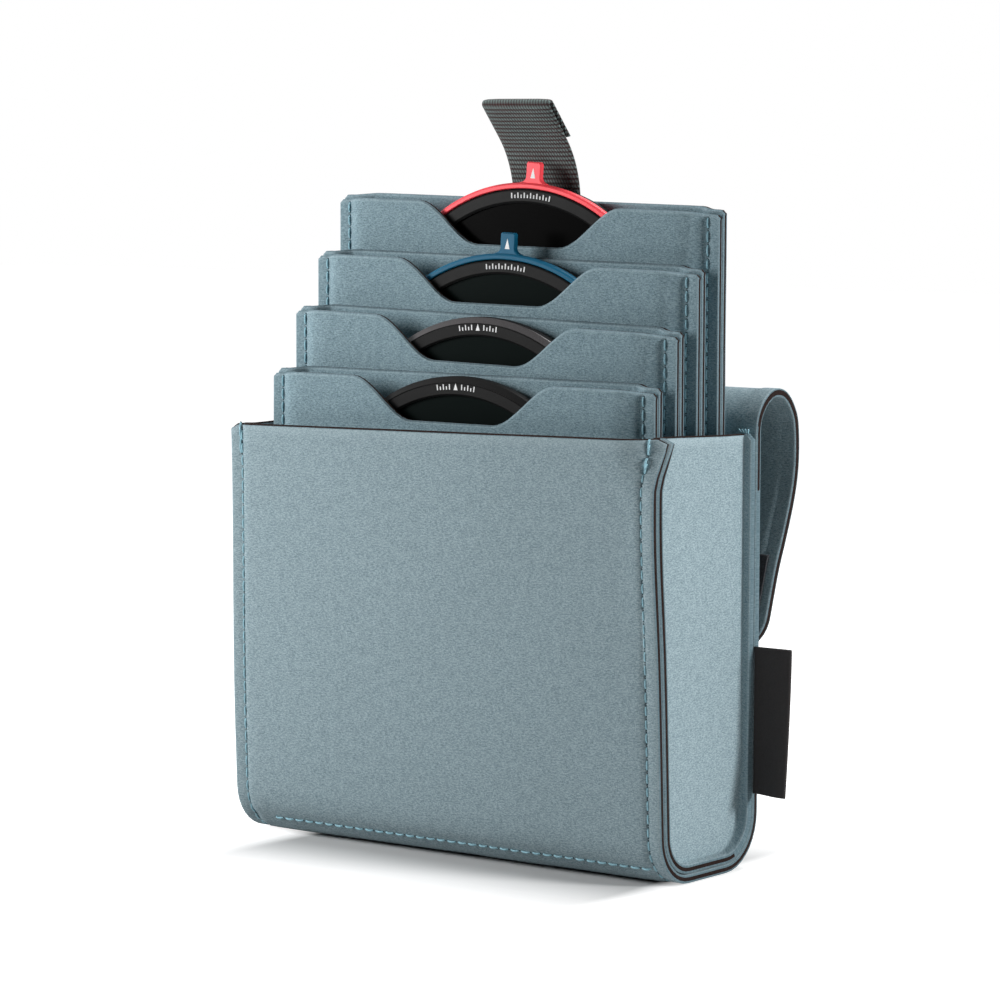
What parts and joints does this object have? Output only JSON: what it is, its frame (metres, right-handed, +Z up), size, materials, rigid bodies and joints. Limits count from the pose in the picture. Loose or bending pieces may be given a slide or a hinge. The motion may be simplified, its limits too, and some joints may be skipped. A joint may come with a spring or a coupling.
{
  "type": "lens filter case",
  "caption": "Soft pouch for round lens filters, with a fold-back flap, stepped sleeves that rise together on linking webs, and a webbing pull tab.",
  "frame": {"origin": "middle of the flat base of the pouch, on the surface it stands on", "axes": "+X to the case's right as seen from the front, +Y towards its back, +Z up"},
  "size_m": [0.1345, 0.0606, 0.1788],
  "materials": {
    "knit_laminate": "blue-grey brushed loop knit on a dark foam core",
    "lining": "thin blue-grey lining cloth",
    "hook_tape": "dark hook tape",
    "woven_label": "bare black woven label",
    "webbing": "dark grey-green ribbed webbing",
    "anodised_black": "matt black anodised",
    "anodised_red": "satin red anodised",
    "anodised_blue": "satin blue anodised",
    "filter_glass": "near-black neutral filter glass"
  },
  "bodies": {
    "case": {"wrap_panel": "knit_laminate", "side_panel_left": "knit_laminate", "side_panel_right": "knit_laminate", "seam_label": "woven_label", "lift_web_1": "lining"},
    "sleeve_1": {"sleeve_front_1": "knit_laminate", "sleeve_back_1": "knit_laminate", "lift_web_2": "lining"},
    "sleeve_2": {"sleeve_front_2": "knit_laminate", "sleeve_back_2": "knit_laminate", "lift_web_3": "lining"},
    "sleeve_3": {"sleeve_front_3": "knit_laminate", "sleeve_back_3": "knit_laminate", "lift_web_4": "lining"},
    "sleeve_4": {"sleeve_front_4": "knit_laminate", "sleeve_back_4": "knit_laminate", "pull_tab_anchor": "webbing"},
    "filter_1": {"filter_frame_1": "anodised_black", "filter_glass_1": "filter_glass", "retaining_ring_1": "anodised_black"},
    "filter_2": {"filter_frame_2": "anodised_black", "filter_glass_2": "filter_glass", "retaining_ring_2": "anodised_black"},
    "filter_3": {"colour_ring_3": "anodised_blue", "filter_carrier_3": "anodised_black", "filter_glass_3": "filter_glass", "retaining_ring_3": "anodised_black"},
    "filter_4": {"colour_ring_4": "anodised_red", "filter_carrier_4": "anodised_black", "filter_glass_4": "filter_glass", "retaining_ring_4": "anodised_black"},
    "pull_tab": {"pull_tab_grip": "webbing"},
    "flap_root": {"flap_root_strip": "knit_laminate"},
    "flap_arch": {"flap_arch_strip": "knit_laminate"},
    "flap_leg": {"flap_upper_leg": "knit_laminate"},
    "flap_tip": {"flap_tip_panel": "knit_laminate", "hook_patch_fold_back": "hook_tape", "hook_patch_closing": "hook_tape"}
  },
  "joints": [
    {"name": "pull_out", "type": "slide", "parent": "case", "child": "sleeve_4", "axis": [0, 0, 1], "range_m": [-0.0548, 0], "deforming": ["lift_web_4"]},
    {"name": "sleeve_3_rise", "type": "slide", "parent": "case", "child": "sleeve_3", "axis": [0, 0, 1], "range_m": [-0.0411, 0], "deforming": ["lift_web_3"]},
    {"name": "sleeve_2_rise", "type": "slide", "parent": "case", "child": "sleeve_2", "axis": [0, 0, 1], "range_m": [-0.0274, 0], "deforming": ["lift_web_2"]},
    {"name": "sleeve_1_rise", "type": "slide", "parent": "case", "child": "sleeve_1", "axis": [0, 0, 1], "range_m": [-0.0137, 0], "deforming": ["lift_web_1"]},
    {"name": "filter_1_lift", "type": "slide", "parent": "sleeve_1", "child": "filter_1", "axis": [0, 0, 1], "range_m": [0, 0.092]},
    {"name": "filter_2_lift", "type": "slide", "parent": "sleeve_2", "child": "filter_2", "axis": [0, 0, 1], "range_m": [0, 0.092]},
    {"name": "filter_3_lift", "type": "slide", "parent": "sleeve_3", "child": "filter_3", "axis": [0, 0, 1], "range_m": [0, 0.092]},
    {"name": "filter_4_lift", "type": "slide", "parent": "sleeve_4", "child": "filter_4", "axis": [0, 0, 1], "range_m": [0, 0.092], "deforming": ["pull_tab_grip"]},
    {"name": "pull_tab_swing", "type": "hinge", "parent": "sleeve_4", "child": "pull_tab", "pos_m": [0, 0.0171, 0.1568], "axis": [1, 0, 0], "range_deg": [-12, 12], "stiffness_Nm_per_rad": 0.002},
    {"name": "flap_root_unfold", "type": "hinge", "parent": "case", "child": "flap_root", "pos_m": [0, 0.019, 0.105], "axis": [1, 0, 0], "range_deg": [0, 30]},
    {"name": "flap_arch_unfold", "type": "hinge", "parent": "flap_root", "child": "flap_arch", "pos_m": [0, 0.02544, 0.11081], "axis": [1, 0, 0], "range_deg": [0, 75]},
    {"name": "flap_unfold", "type": "hinge", "parent": "flap_arch", "child": "flap_leg", "pos_m": [0, 0.03307, 0.10812], "axis": [1, 0, 0], "range_deg": [0, 75]},
    {"name": "flap_tip_unfold", "type": "hinge", "parent": "flap_leg", "child": "flap_tip", "pos_m": [0, 0.03286, 0.08669], "axis": [1, 0, 0], "range_deg": [0, 9.6]}
  ],
  "couplings": [
    {"joint": "sleeve_3_rise", "follows": "pull_out", "ratio": 0.75},
    {"joint": "sleeve_2_rise", "follows": "pull_out", "ratio": 0.5},
    {"joint": "sleeve_1_rise", "follows": "pull_out", "ratio": 0.25},
    {"joint": "flap_root_unfold", "follows": "flap_unfold", "ratio": 0.4},
    {"joint": "flap_arch_unfold", "follows": "flap_unfold", "ratio": 1},
    {"joint": "flap_tip_unfold", "follows": "flap_unfold", "ratio": 0.128}
  ]
}
